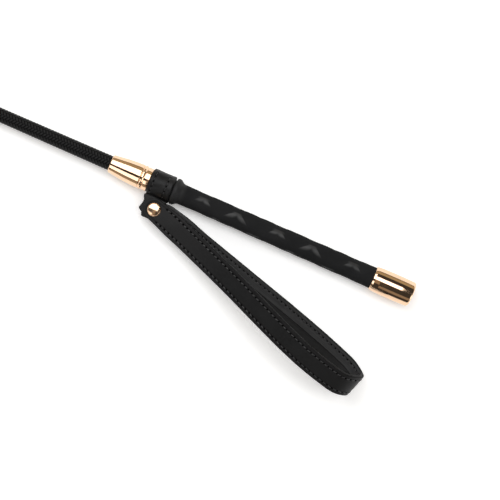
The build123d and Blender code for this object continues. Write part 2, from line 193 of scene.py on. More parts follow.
def leather(name, dark, light, cell_mm, bump_mm, rough=(0.42, 0.6), wear=0.0, specular=0.24, streak=0.0, painted_shade_half=False,
            painted_lit_colour=None):
    m, nt, bsdf = base_material(name)
    L = nt.links.new
    tc = node(nt, "ShaderNodeTexCoord")
    cells = node(nt, "ShaderNodeTexVoronoi", feature="SMOOTH_F1", Scale=1 / (cell_mm * MM), Smoothness=0.35, Randomness=0.95)
    L(tc.outputs["Object"], cells.inputs["Vector"])
    fine = node(nt, "ShaderNodeTexNoise", Scale=1 / (cell_mm * 0.35 * MM), Detail=4.0, Roughness=0.6)
    L(tc.outputs["Object"], fine.inputs["Vector"])
    broad = node(nt, "ShaderNodeTexNoise", Scale=1 / (9 * MM), Detail=3.0, Roughness=0.55)
    L(tc.outputs["Object"], broad.inputs["Vector"])
    run = node(nt, "ShaderNodeAttribute", attribute_name="run")
    span = node(nt, "ShaderNodeAttribute", attribute_name="span")
    pair = node(nt, "ShaderNodeCombineXYZ")
    L(run.outputs["Fac"], pair.inputs[0])
    L(span.outputs["Fac"], pair.inputs[1])
    stretch = node(nt, "ShaderNodeMapping")
    stretch.inputs["Scale"].default_value = (0.03, 1.7, 1)
    L(pair.outputs[0], stretch.inputs["Vector"])
    lines = node(nt, "ShaderNodeTexNoise", Scale=1.0, Detail=3.0, Roughness=0.6)
    L(stretch.outputs["Vector"], lines.inputs["Vector"])
    blend = node(nt, "ShaderNodeMix", data_type="FLOAT")
    blend.inputs[0].default_value = streak
    L(broad.outputs["Fac"], blend.inputs[2])
    L(lines.outputs["Fac"], blend.inputs[3])
    col = ramp(nt, blend.outputs[0], [(0.36, dark), (0.66, light)])
    if painted_shade_half:
        # painted shade: the lining's half nearer the upper leg is painted darker, the other half keeps its full tone
        side = ramp(nt, span.outputs["Fac"], [(0.25, 0.25), (0.85, 1.0)])
        tone = node(nt, "ShaderNodeMix", data_type="RGBA", blend_type="MULTIPLY")
        tone.inputs[0].default_value = 1.0
        L(col.outputs["Color"], tone.inputs[6])
        L(side.outputs["Color"], tone.inputs[7])
        base_out = tone.outputs[2]
    elif painted_lit_colour:
        # painted light: next to the rivet and at the bend, where the strap turns towards the light, the outer ply is
        # painted lighter and greyer, in a grainy way
        part = node(nt, "ShaderNodeMath", operation="MULTIPLY_ADD")
        part.inputs[1].default_value = 1 / 200
        painted_light_grain = node(nt, "ShaderNodeTexNoise", Scale=1 / (1.6 * MM), Detail=5.0, Roughness=0.7)
        L(tc.outputs["Object"], painted_light_grain.inputs["Vector"])
        shift = node(nt, "ShaderNodeMath", operation="MULTIPLY_ADD")
        shift.inputs[1].default_value = -0.4
        shift.inputs[2].default_value = 0.2
        L(painted_light_grain.outputs["Fac"], shift.inputs[0])
        L(run.outputs["Fac"], part.inputs[0])
        L(shift.outputs[0], part.inputs[2])
        amount = ramp(nt, part.outputs[0], [(0.0, 1.0), (0.2, 0.9), (0.38, 0.12), (0.62, 0.08), (0.79, 0.8)])
        tone = node(nt, "ShaderNodeMix", data_type="RGBA")
        tone.inputs[7].default_value = (painted_lit_colour[0], painted_lit_colour[1], painted_lit_colour[2], 1)
        L(amount.outputs["Color"], tone.inputs[0])
        L(col.outputs["Color"], tone.inputs[6])
        base_out = tone.outputs[2]
    else:
        base_out = col.outputs["Color"]
    edge = node(nt, "ShaderNodeAttribute", attribute_name="edge")
    worn = node(nt, "ShaderNodeMix", data_type="RGBA")
    worn.inputs[7].default_value = (light[0] * 2.0 + 0.012, light[1] * 2.0 + 0.011, light[2] * 2.0 + 0.010, 1)
    scale = node(nt, "ShaderNodeMath", operation="MULTIPLY")
    scale.inputs[1].default_value = wear
    patch = ramp(nt, fine.outputs["Fac"], [(0.35, 0.25), (0.65, 1.0)])
    L(edge.outputs["Fac"], scale.inputs[0])
    both = node(nt, "ShaderNodeMath", operation="MULTIPLY")
    L(scale.outputs[0], both.inputs[0])
    L(patch.outputs["Color"], both.inputs[1])
    inked = node(nt, "ShaderNodeMix", data_type="RGBA")
    inked.inputs[7].default_value = (0.0010, 0.0010, 0.0011, 1)
    L(edge.outputs["Fac"], inked.inputs[0])
    L(base_out, inked.inputs[6])
    base_out = inked.outputs[2]
    L(both.outputs[0], worn.inputs[0])
    L(base_out, worn.inputs[6])
    # painted shade: the mesh's dark attribute paints the stitch holes near black and the stitch grooves darker
    pit = node(nt, "ShaderNodeAttribute", attribute_name="dark")
    holes = node(nt, "ShaderNodeMix", data_type="RGBA")
    holes.inputs[7].default_value = (0.0006, 0.0006, 0.0006, 1)
    L(pit.outputs["Fac"], holes.inputs[0])
    L(worn.outputs[2], holes.inputs[6])
    L(holes.outputs[2], bsdf.inputs["Base Color"])
    rr = ramp(nt, fine.outputs["Fac"], [(0.3, rough[0]), (0.7, rough[1])])
    L(rr.outputs["Color"], bsdf.inputs["Roughness"])
    dull = node(nt, "ShaderNodeMath", operation="MULTIPLY_ADD", use_clamp=True)
    dull.inputs[1].default_value = 0.72
    L(edge.outputs["Fac"], dull.inputs[0])
    L(pit.outputs["Fac"], dull.inputs[2])
    spec = ramp(nt, dull.outputs[0], [(0.0, specular), (0.9, specular * 0.12)])
    L(spec.outputs["Color"], bsdf.inputs["Specular IOR Level"])
    add = node(nt, "ShaderNodeMath", operation="MULTIPLY_ADD")
    add.inputs[1].default_value = 0.35
    L(fine.outputs["Fac"], add.inputs[0])
    L(cells.outputs["Distance"], add.inputs[2])
    b = node(nt, "ShaderNodeBump", Strength=1.0, Distance=bump_mm * MM)
    L(add.outputs[0], b.inputs["Height"])
    L(b.outputs["Normal"], bsdf.inputs["Normal"])
    return m


def grip_leather(name):
    """Matte cover whose raised, rubbed bands are smoother than the hollows between them."""
    m, nt, bsdf = base_material(name)
    L = nt.links.new
    tc = node(nt, "ShaderNodeTexCoord")
    high = node(nt, "ShaderNodeAttribute", attribute_name="high")
    cells = node(nt, "ShaderNodeTexVoronoi", feature="SMOOTH_F1", Scale=1 / (0.55 * MM), Smoothness=0.4, Randomness=1.0)
    L(tc.outputs["Object"], cells.inputs["Vector"])
    fine = node(nt, "ShaderNodeTexNoise", Scale=1 / (0.25 * MM), Detail=4.0, Roughness=0.6)
    L(tc.outputs["Object"], fine.inputs["Vector"])
    broad = node(nt, "ShaderNodeTexNoise", Scale=1 / (12 * MM), Detail=3.0)
    L(tc.outputs["Object"], broad.inputs["Vector"])
    col = ramp(nt, broad.outputs["Fac"], [(0.3, (0.0128, 0.0130, 0.0136)), (0.72, (0.0170, 0.0172, 0.0180))])
    L(col.outputs["Color"], bsdf.inputs["Base Color"])
    rough = ramp(nt, high.outputs["Fac"], [(0.2, 0.8), (0.62, 0.50), (1.0, 0.38)])
    jit = node(nt, "ShaderNodeMath", operation="MULTIPLY_ADD")
    jit.inputs[1].default_value = 0.08
    L(fine.outputs["Fac"], jit.inputs[0])
    L(rough.outputs["Color"], jit.inputs[2])
    L(jit.outputs[0], bsdf.inputs["Roughness"])
    sp = ramp(nt, high.outputs["Fac"], [(0.2, 0.05), (0.6, 0.20), (1.0, 0.44)])
    L(sp.outputs["Color"], bsdf.inputs["Specular IOR Level"])
    add = node(nt, "ShaderNodeMath", operation="MULTIPLY_ADD")
    add.inputs[1].default_value = 0.4
    L(fine.outputs["Fac"], add.inputs[0])
    L(cells.outputs["Distance"], add.inputs[2])
    b = node(nt, "ShaderNodeBump", Strength=1.0, Distance=0.035 * MM)
    L(add.outputs[0], b.inputs["Height"])
    L(b.outputs["Normal"], bsdf.inputs["Normal"])
    return m


def metal(name, colour, rough=(0.05, 0.12), scratch=0.0012):
    m, nt, bsdf = base_material(name)
    L = nt.links.new
    tc = node(nt, "ShaderNodeTexCoord")
    n1 = node(nt, "ShaderNodeTexNoise", Scale=1 / (6 * MM), Detail=4.0, Roughness=0.6)
    L(tc.outputs["Object"], n1.inputs["Vector"])
    lighter = tuple(min(1.0, c * 1.03) for c in colour)
    darker = tuple(c * 0.965 for c in colour)
    col = ramp(nt, n1.outputs["Fac"], [(0.35, darker), (0.65, lighter)])
    L(col.outputs["Color"], bsdf.inputs["Base Color"])
    rr = ramp(nt, n1.outputs["Fac"], [(0.3, rough[0]), (0.75, rough[1])])
    L(rr.outputs["Color"], bsdf.inputs["Roughness"])
    bsdf.inputs["Metallic"].default_value = 1.0
    stretch = node(nt, "ShaderNodeMapping")
    stretch.inputs["Scale"].default_value = (6000, 260, 260)
    L(tc.outputs["Object"], stretch.inputs["Vector"])
    n2 = node(nt, "ShaderNodeTexNoise", Scale=1.0, Detail=2.0)
    L(stretch.outputs["Vector"], n2.inputs["Vector"])
    b = node(nt, "ShaderNodeBump", Strength=0.35, Distance=scratch * MM)
    L(n2.outputs["Fac"], b.inputs["Height"])
    L(b.outputs["Normal"], bsdf.inputs["Normal"])
    return m


def woven(name, dark, light, rough=0.45, sheen=0.0):
    """Yarns along each strand; the strand's own coordinate comes with the mesh."""
    m, nt, bsdf = base_material(name)
    L = nt.links.new
    tc = node(nt, "ShaderNodeTexCoord")
    across = node(nt, "ShaderNodeAttribute", attribute_name="yarn")
    wave = node(nt, "ShaderNodeMath", operation="MULTIPLY")
    wave.inputs[1].default_value = 2 * math.pi * 5
    L(across.outputs["Fac"], wave.inputs[0])
    s = node(nt, "ShaderNodeMath", operation="SINE")
    L(wave.outputs[0], s.inputs[0])
    fuzz = node(nt, "ShaderNodeTexNoise", Scale=1 / (0.3 * MM), Detail=4.0, Roughness=0.65)
    L(tc.outputs["Object"], fuzz.inputs["Vector"])
    h = node(nt, "ShaderNodeMath", operation="MULTIPLY_ADD")
    h.inputs[1].default_value = 0.4
    L(s.outputs[0], h.inputs[0])
    L(fuzz.outputs["Fac"], h.inputs[2])
    high = node(nt, "ShaderNodeAttribute", attribute_name="high")
    # painted shade and painted highlight: the hollows between the strands are painted near black and the strand crowns
    # lighter than the rest
    col = ramp(nt, high.outputs["Fac"], [(0.25, tuple(c * 0.08 for c in dark)), (0.6, dark), (1.0, light)])
    L(col.outputs["Color"], bsdf.inputs["Base Color"])
    rr = ramp(nt, fuzz.outputs["Fac"], [(0.3, rough - 0.06), (0.7, rough + 0.1)])
    L(rr.outputs["Color"], bsdf.inputs["Roughness"])
    bsdf.inputs["Sheen Weight"].default_value = sheen
    bsdf.inputs["Sheen Roughness"].default_value = 0.4
    sp = ramp(nt, high.outputs["Fac"], [(0.45, 0.0), (0.9, 0.22)])
    L(sp.outputs["Color"], bsdf.inputs["Specular IOR Level"])
    b = node(nt, "ShaderNodeBump", Strength=0.8, Distance=0.05 * MM)
    L(h.outputs[0], b.inputs["Height"])
    L(b.outputs["Normal"], bsdf.inputs["Normal"])
    return m


def plain(name, dark, light, rough=(0.45, 0.6), size_mm=1.0, bump_mm=0.02):
    m, nt, bsdf = base_material(name)
    L = nt.links.new
    tc = node(nt, "ShaderNodeTexCoord")
    n1 = node(nt, "ShaderNodeTexNoise", Scale=1 / (size_mm * MM), Detail=4.0)
    L(tc.outputs["Object"], n1.inputs["Vector"])
    col = ramp(nt, n1.outputs["Fac"], [(0.3, dark), (0.7, light)])
    L(col.outputs["Color"], bsdf.inputs["Base Color"])
    rr = ramp(nt, n1.outputs["Fac"], [(0.3, rough[0]), (0.7, rough[1])])
    L(rr.outputs["Color"], bsdf.inputs["Roughness"])
    b = node(nt, "ShaderNodeBump", Strength=1.0, Distance=bump_mm * MM)
    L(n1.outputs["Fac"], b.inputs["Height"])
    L(b.outputs["Normal"], bsdf.inputs["Normal"])
    return m


# the outer ply carries painted light: lighter and greyer next to the rivet and at the bend
STRAP = leather("strap_leather", (0.0022, 0.0023, 0.0025), (0.0050, 0.0051, 0.0055), 0.55, 0.05, (0.42, 0.58), wear=0.25, specular=0.17,
                painted_lit_colour=(0.0118, 0.0118, 0.0122))
# the lining's base is painted far lighter than the outer ply's, painted light for the light its inner face catches; one
# half is painted darker again as painted shade
LINING = leather("lining_leather", (0.0225, 0.0225, 0.0228), (0.0440, 0.0440, 0.0449), 0.4, 0.03, (0.34, 0.48), wear=0.1, specular=0.24, streak=0.7, painted_shade_half=True)
COLLAR = leather("collar_leather_mat", (0.0030, 0.0031, 0.0034), (0.0060, 0.0061, 0.0066), 0.5, 0.045, (0.38, 0.55), wear=0.2, specular=0.26)
KEEPER = leather("keeper_leather_mat", (0.0030, 0.0030, 0.0031), (0.0062, 0.0062, 0.0064), 0.55, 0.05, wear=0.25, specular=0.22)
GRIP = grip_leather("grip_leather_mat")
GOLD = metal("rose_gold", (0.87, 0.600, 0.400))
RIVET_GOLD = metal("rose_gold_rivet", (0.87, 0.600, 0.400), (0.14, 0.2))
BRAID = woven("braid", (0.0030, 0.0030, 0.0032), (0.0085, 0.0085, 0.009))
# painted highlight: the strap and keeper thread is painted lighter than the collar's dark thread, standing in for its
# glints
LIT_THREAD = plain("thread", (0.016, 0.016, 0.017), (0.034, 0.034, 0.036), (0.26, 0.38), 0.3, 0.03)
DARK_THREAD = plain("dark_thread", (0.006, 0.006, 0.0065), (0.013, 0.013, 0.014), (0.3, 0.42), 0.3, 0.03)
PLASTIC = plain("plastic", (0.03, 0.03, 0.03), (0.05, 0.05, 0.05))
FIBRE = plain("fibreglass", (0.55, 0.54, 0.45), (0.7, 0.68, 0.6), (0.3, 0.4), 2.0)
# painted shade: the wood core is painted near black, so where it shows in the gap between collar and grip cover it
# reads as a shaded groove
SHADED_WOOD = plain("core_wood_mat", (0.006, 0.005, 0.0045), (0.011, 0.009, 0.008), (0.6, 0.75), 3.0)
RUBBER = plain("rubber", (0.02, 0.02, 0.02), (0.03, 0.03, 0.03), (0.6, 0.75))

# carried-over CAD nodes that stay (mostly inside) get their own finishes
for n, mat in {"core_rod": FIBRE, "end_plug": PLASTIC, "handle_core": SHADED_WOOD, "neck_bead": RUBBER,
               "ferrule_bush": PLASTIC, "collar_lining": LINING, "rivet_post": GOLD}.items():
    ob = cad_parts[n]
    ob.data.materials.clear()
    ob.data.materials.append(mat)

# ------------------------------------------------------------------------------------------------
# stick: rod sizes as in the CAD
# ------------------------------------------------------------------------------------------------
ROD_R0, ROD_R1, ROD_X0, ROD_X1 = 4.2, 2.8, 228.0, 566.0
BRAID_WALL = 0.75


def braid_r(x):
    f = np.clip((np.asarray(x, float) - ROD_X0) / (ROD_X1 - ROD_X0), 0, 1)
    return ROD_R0 + (ROD_R1 - ROD_R0) * f + BRAID_WALL


def braid_sleeve():
    x0, x1, n_c, lam = 221.0, 552.0, 12, 2.25
    nu, nv = int((x1 - x0) / 0.32), 120
    xs = np.linspace(x0, x1, nu)
    th = np.arange(nv) * 2 * math.pi / nv
    X, T = np.meshgrid(xs, th, indexing="ij")
    u = T * n_c / (2 * math.pi) + X / lam
    v = T * n_c / (2 * math.pi) - X / lam + 4000
    i, j = np.floor(u), np.floor(v)
    fu, fv = u - i - 0.5, v - j - 0.5
    prof = lambda f: np.sqrt(np.clip(1 - (2 * f * 0.97) ** 2, 0, 1))
    zr = 0.30 * prof(fu) + 0.13 * np.cos(math.pi / 2 * ((v + i) % 4 - 1))
    zl = 0.30 * prof(fv) - 0.13 * np.cos(math.pi / 2 * ((u + j) % 4 - 1))
    right = zr > zl
    z = np.maximum(zr, zl)
    z = (z - z.min()) / (z.max() - z.min())
    r = braid_r(X) + 0.22 - 0.45 * (1 - z)
    verts = np.stack([X, r * np.cos(T), r * np.sin(T)], -1).reshape(-1, 3)
    mesh_object("shaft_braid_woven", verts, grid_quads(nu, nv, wrap_v=True, flip=True), None, BRAID, "shaft",
                {"yarn": np.where(right, fu, fv) + 0.5, "high": z}, replaces=("shaft_braid",))


braid_sleeve()

# ------------------------------------------------------------------------------------------------
# grip cover: two-start crossing bands pressed through the leather
# ------------------------------------------------------------------------------------------------

def grip_profile(x):
    return np.interp(x, [29.1, 168.2], [7.40, 7.05])


def grip_cover():
    front = np.array(rounded([(168.2, 7.05), (171.9, 7.2, 4.0), (173.5, 8.5, 1.2), (174.4, 9.15, 0.8),
                              (176.0, 9.22, 0.6), (176.8, 8.95, 0.35), (177.0, 8.45, 0.25), (177.0, 7.1)], 5))
    # dense along the plain length, then the bulge's own outline
    xs = np.arange(27.0, 168.0, 0.5)
    px = np.concatenate([xs, front[:, 0]])
    pr = np.concatenate([grip_profile(xs), front[:, 1]])
    nu, nv = len(px), 168
    th = np.arange(nv) * 2 * math.pi / nv
    X, T = np.meshgrid(px, th, indexing="ij")
    R = np.repeat(pr[:, None], nv, 1)
    # angle from straight up, towards -Y
    phi = (math.pi / 2 - T + math.pi) % (2 * math.pi) - math.pi
    wrap = lambda q: (q + math.pi) % (2 * math.pi) - math.pi
    soft = lambda q: q * q * (3 - 2 * q)
    cross_x, cross_a, pitch = 100.3, math.radians(-29), 55.2
    width = math.radians(33)
    quarter = (phi - cross_a) / (math.pi / 2)
    below = quarter % 1.0                       # 0 at a crossing, growing along the legs that leave it downwards
    column = np.round((X - cross_x - pitch / 4 * (np.floor(quarter) % 2)) / (pitch / 2))
    short = (column % 2 == 0) & (np.floor(quarter) % 2 == 0)
    reach = np.where(short, 0.20, 0.36)
    leg = np.clip(1 - soft(np.clip((below - reach) / 0.2, 0, 1)), 0, 1)
    near = np.exp(-(((1 - below) / 0.07) ** 2))
    leg = 0.2 + 0.8 * np.maximum(leg, near)
    leg = np.where(np.floor(quarter) % 2 == 0, leg, 0.45 * leg)
    bands, lit = [], []
    # bands cross over and under in turn, so every second crossing is short and blunt
    for sgn in (1, -1):
        for k in (0, 1):
            centre = cross_a + sgn * (2 * math.pi * (X - cross_x) / pitch - 0.29 * k) + k * math.pi
            d = wrap(phi - centre)
            bands.append(np.clip(1 - np.abs(d) / width, 0, 1))
            upper = soft(np.clip((d + math.radians(17)) / math.radians(7), 0, 1))
            lower = 1 - soft(np.clip((d - math.radians(4)) / math.radians(34), 0, 1))
            lit.append(upper * lower * leg)
    one = np.maximum.reduce(bands)
    tot = np.clip(sum(bands), 0, 1.6)
    fade = soft(np.clip((X - 31) / 8, 0, 1)) * soft(np.clip((169 - X) / 14, 0, 1))
    h = (0.6 * soft(np.clip(one * 2.2, 0, 1)) + 0.4 * soft(np.clip(tot / 1.4, 0, 1))) * fade
    shine = np.clip(np.maximum.reduce(lit), 0, 1) * fade
    # blunt crossings carry a small flat
    flat_x = ((X - cross_x + pitch / 2) % pitch) - pitch / 2
    flat = np.exp(-(flat_x / 4.4) ** 4 - (wrap(phi - math.radians(-25)) / math.radians(11)) ** 4)
    back_x = ((X - cross_x) % pitch) - pitch / 2
    flat = np.maximum(flat, np.exp(-(back_x / 4.4) ** 4 - (wrap(phi - math.radians(155)) / math.radians(11)) ** 4))
    shine = np.maximum(shine, 0.95 * flat * fade)
    shine = np.maximum(shine, 0.62 * soft(np.clip((X - 166) / 5, 0, 1)))
    seam = np.abs((phi - math.radians(176) + math.pi) % (2 * math.pi) - math.pi)
    groove = np.exp(-(seam * R / 0.35) ** 2) * np.clip((176.5 - X) / 3, 0, 1)
    low = np.sin(X * 0.9 + 3 * np.sin(T)) * 0.012 + np.sin(X * 0.37 + 2 * T) * 0.012
    R = R - 0.26 * (1 - h) * fade - 0.14 * groove + low * fade
    verts = np.stack([X, R * np.cos(T), R * np.sin(T)], -1).reshape(-1, 3)
    quads = grid_quads(nu, nv, wrap_v=True, flip=True)
    # the end at the cap stays open, hidden inside the cap
    mesh_object("grip_cover_leather", verts, quads, None, GRIP, "shaft",
                {"high": shine, "edge": groove}, replaces=("grip_cover",))


grip_cover()

# ------------------------------------------------------------------------------------------------
# polished metal: pommel cap, front ferrule, tip ferrule
# ------------------------------------------------------------------------------------------------
cap = rounded([(1.3, 7.35), (28.2, 7.42, 0.2), (29.05, 7.6, 0.3), (29.1, 8.05, 0.35), (27.8, 8.5, 1.5), (24.0, 8.78, 6),
               (17.0, 8.9, 8), (9.0, 8.9, 8), (0.0, 8.66, 1.9), (0.0, 4.6, 0.1), (0.12, 4.4, 0.1), (0.12, 0.0)], 12)
lathe("end_cap_polished", cap, 160, GOLD, "shaft", ("end_cap",), sharp=50)

ferrule = rounded([(196.0, 7.1), (194.85, 7.1, 0.1), (194.85, 7.9, 0.1), (194.25, 7.92, 0.06), (194.22, 8.05, 0.06), (194.5, 8.17, 0.2), (197.7, 8.17, 0.3), (198.15, 7.8, 0.25),
                   (198.55, 8.15, 0.25), (199.0, 8.5, 0.6), (200.0, 8.5, 0.6), (200.5, 8.1, 0.25), (200.75, 7.95, 0.15),
                   (201.1, 8.38, 0.3), (206.0, 8.18, 8), (212.0, 7.75, 12), (221.0, 6.55, 1.6), (222.9, 6.35, 0.75),
                   (223.4, 5.65, 0.35), (223.1, 5.2, 0.2), (221.9, 5.05)], 7)
lathe("shaft_ferrule_polished", ferrule, 160, GOLD, "shaft", ("shaft_ferrule",), sharp=50)

tipf = rounded([(549.2, 3.75), (548.05, 4.0, 0.2), (548.1, 4.85, 0.35), (549.2, 5.5, 0.5), (551.2, 5.55, 0.2), (551.6, 5.25, 0.2),
                (552.0, 5.55, 0.2), (571.0, 5.6, 0.2), (571.4, 5.3, 0.2), (571.8, 5.58, 0.2), (573.2, 5.55, 0.5),
                (574.0, 4.9, 0.4), (574.0, 4.55)], 6)


def tip_ferrule():
    """Lathe with a face that leaves the keeper's slot open."""
    segs = 144
    prof = np.array(tipf, float)
    th = np.arange(segs) * 2 * math.pi / segs
    P, T = np.meshgrid(np.arange(len(prof)), th, indexing="ij")
    X, R = prof[P, 0], prof[P, 1]
    verts = np.stack([X, R * np.cos(T), R * np.sin(T)], -1).reshape(-1, 3)
    quads = grid_quads(len(prof), segs, wrap_v=True, flip=True)
    # front face: from the ring to a rectangle round the slot, then back into the ferrule
    n0 = len(verts)
    w, h = 4.4, 1.72
    t = np.maximum(np.abs(np.cos(th)) / w, np.abs(np.sin(th)) / h)
    ry, rz = np.cos(th) / t, np.sin(th) / t
    inner = np.stack([np.full(segs, 574.0), ry, rz], -1)
    rim = np.stack([np.full(segs, 573.7), ry * 0.985, rz * 0.96], -1)
    deep = np.stack([np.full(segs, 569.0), ry * 0.985, rz * 0.96], -1)
    extra = np.concatenate([inner, rim, deep])
    allv = np.concatenate([verts, extra])
    last = (len(prof) - 1) * segs
    j = np.arange(segs)
    j2 = (j + 1) % segs
    q2 = [np.stack([last + j, last + j2, n0 + j2, n0 + j], -1),
          np.stack([n0 + j, n0 + j2, n0 + segs + j2, n0 + segs + j], -1),
          np.stack([n0 + segs + j, n0 + segs + j2, n0 + 2 * segs + j2, n0 + 2 * segs + j], -1)]
    quads = np.concatenate([quads] + [q[:, ::-1] for q in q2])
    mesh_object("tip_ferrule_polished", allv, quads, None, GOLD, "shaft", sharp=45, replaces=("tip_ferrule",))


tip_ferrule()

# ------------------------------------------------------------------------------------------------
# ribbon builder: a leather ply swept along a path, with rounded edges
# ------------------------------------------------------------------------------------------------


def ribbon_mesh(name, C, Wd, N, lo, hi, bottom, top, samples, material, body, replaces=(), corner=0.35,
                relief_top=None, relief_bottom=None, arc=None, closed=False):
    """C, Wd, N: middle, width direction and outward normal per station; lo/hi: side extents; samples: positions
    across in mm from the middle (scaled to the extents); relief functions take (arc, across)."""
    n = len(C)
    bottom = np.broadcast_to(np.asarray(bottom, float), (n,))
    top = np.broadcast_to(np.asarray(top, float), (n,))
    s = np.asarray(samples, float)
    full = max(abs(s[0]), abs(s[-1]))
    k = 5
    ang = np.linspace(0, math.pi / 2, k)
    A, Lv, E, D = [], [], [], []
    none = np.zeros(n)
    half, mid = (hi - lo) / 2, (hi + lo) / 2
    rc = np.minimum(corner, np.minimum(half * 0.9, (top - bottom) * 0.45))
    flat = half - rc
    for q in s:  # top face
        a = mid + flat * (q / full)
        rel, pit = relief_top(arc, a) if relief_top else (none, none)
        A.append(a); Lv.append(top + rel); E.append(none); D.append(pit)
    for t in ang[1:]:
        A.append(mid + flat + rc * np.sin(t)); Lv.append(top - rc * (1 - np.cos(t))); E.append(np.full(n, math.sin(t))); D.append(none)
    for t in ang[:-1][::-1]:
        A.append(mid + flat + rc * np.sin(t)); Lv.append(bottom + rc * (1 - np.cos(t))); E.append(np.full(n, math.sin(t))); D.append(none)
    for q in s[::-1][1:] if len(s) > 1 else s:
        a = mid + flat * (q / full)
        rel, pit = relief_bottom(arc, a) if relief_bottom else (none, none)
        A.append(a); Lv.append(bottom - rel); E.append(none); D.append(pit)
    for t in ang[1:]:
        A.append(mid - flat - rc * np.sin(t)); Lv.append(bottom + rc * (1 - np.cos(t))); E.append(np.full(n, math.sin(t))); D.append(none)
    for t in ang[1:-1][::-1]:
        A.append(mid - flat - rc * np.sin(t)); Lv.append(top - rc * (1 - np.cos(t))); E.append(np.full(n, math.sin(t))); D.append(none)
    A, Lv, E, D = np.stack(A, 1), np.stack(Lv, 1), np.stack(E, 1), np.stack(D, 1)
    V = C[:, None, :] + A[..., None] * Wd[:, None, :] + Lv[..., None] * N[:, None, :]
    m = A.shape[1]
    run = np.repeat((arc if arc is not None else np.arange(n))[:, None], m, 1)
    verts = V.reshape(-1, 3)
    quads = grid_quads(n, m, wrap_u=closed, wrap_v=True)
    if not closed:
        # close the ends with strips between the two faces, pairing points across the closed section
        strip = []
        lo_i, hi_i = 0, m - 1
        while lo_i + 1 < hi_i - 1 or lo_i + 1 <= hi_i - 1:
            if lo_i + 1 == hi_i:
                break
            if lo_i + 1 == hi_i - 1:
                strip.append((lo_i, lo_i + 1, hi_i, hi_i))
                break
            strip.append((lo_i, lo_i + 1, hi_i - 1, hi_i))
            lo_i += 1
            hi_i -= 1
        first = np.array(strip)
        quads = [tuple(q) for q in quads.tolist()]
        tris = []
        for q in first.tolist():
            if q[2] == q[3]:
                tris.append((q[0], q[1], q[2]))
                tris.append(tuple((n - 1) * m + z for z in (q[2], q[1], q[0])))
            else:
                quads.append((q[0], q[1], q[2], q[3]))
                quads.append(tuple((n - 1) * m + z for z in (q[3], q[2], q[1], q[0])))
    else:
        tris = None
    # the dark attribute carries painted shade for stitch holes and grooves
    ob = mesh_object(name, verts, quads, tris, material, body, {"edge": E.reshape(-1), "dark": np.clip(D, 0, 1).reshape(-1),
                      "run": run.reshape(-1), "span": A.reshape(-1)}, replaces=replaces)
    return ob


def fix_normals(ob):
    import bmesh
    bm = bmesh.new()
    bm.from_mesh(ob.data)
    bmesh.ops.recalc_face_normals(bm, faces=bm.faces)
    bm.to_mesh(ob.data)
    bm.free()
    ob.data.polygons.foreach_set("use_smooth", np.ones(len(ob.data.polygons), bool))


def stitch_mesh(name, placements, length, radius, material, body, replaces=(), sink=0.35, arch=0.12):
    """placements: (centre on the surface, along, across, outward) for each stitch, in mm."""
    nu, nv = 9, 8
    t = np.linspace(-1, 1, nu)
    ring = np.arange(nv) * 2 * math.pi / nv
    rad = radius * np.sqrt(np.clip(1 - (np.abs(t) * 0.98) ** 6, 0.02, 1))
    lift = arch * (1 - t ** 2) - sink * np.clip(np.abs(t) - 0.72, 0, 1) / 0.28
    V, Q, Tr = [], [], []
    off = 0
    base_q = grid_quads(nu, nv, wrap_v=True)
    for c, al, ac, out in placements:
        al, ac, out = [np.asarray(z, float) for z in (al, ac, out)]
        c = np.asarray(c, float)
        P = (c[None, None, :] + (t * length / 2)[:, None, None] * al
             + (rad[:, None] * np.cos(ring)[None, :])[..., None] * ac
             + (lift[:, None] + rad[:, None] * 0.75 * np.sin(ring)[None, :])[..., None] * out)
        V.append(P.reshape(-1, 3))
        Q.append(base_q + off)
        for e, rev in ((0, False), (nu - 1, True)):
            ci = off + nu * nv + (1 if rev else 0)
            for j in range(nv):
                a, b = off + e * nv + j, off + e * nv + (j + 1) % nv
                Tr.append((ci, a, b) if rev else (ci, b, a))
        V.append(np.array([P[0].mean(0), P[-1].mean(0)]))
        off += nu * nv + 2
    ob = mesh_object(name, np.concatenate(V), np.concatenate(Q), np.array(Tr), material, body, replaces=replaces)
    fix_normals(ob)
    return ob


# ------------------------------------------------------------------------------------------------
# wrist strap
# ------------------------------------------------------------------------------------------------
RIVET = np.array([183.5, 17.0, 0.0])
al = math.radians(17.3)
E_L = np.array([-math.cos(al), math.sin(al), 0.0])
E_S = np.array([-math.sin(al), -math.cos(al), 0.0])
E_Z = np.array([0.0, 0.0, 1.0])
STATIONS = np.array([
    (12.0, 3.35, 0.0, 0.0, 0.0), (18.0, 3.60, 6.4, 0.29, 0.05), (25.0, 4.18, 13.0, 0.62, 0.20),
    (35.0, 5.18, 16.3, 0.61, 0.60), (50.0, 6.94, 17.7, 0.46, 1.50), (65.0, 8.53, 18.9, 0.24, 3.00),
    (80.0, 10.10, 20.2, -0.06, 4.70), (95.0, 11.83, 21.8, -0.45, 6.30), (110.0, 13.26, 23.4, -0.86, 7.70),
    (125.0, 14.18, 24.9, -1.26, 8.60), (140.0, 14.62, 25.7, -1.49, 9.00), (153.0, 14.16, 25.6, -1.45, 8.90),
    (165.0, 13.06, 25.1, -1.28, 8.60)])
REACH, B_TILT, B_OFF, B_RISE = 14.73, 11.8, -0.45, 8.3
HALF = 1.25
END_R, FULL_W = 7.5, 16.9


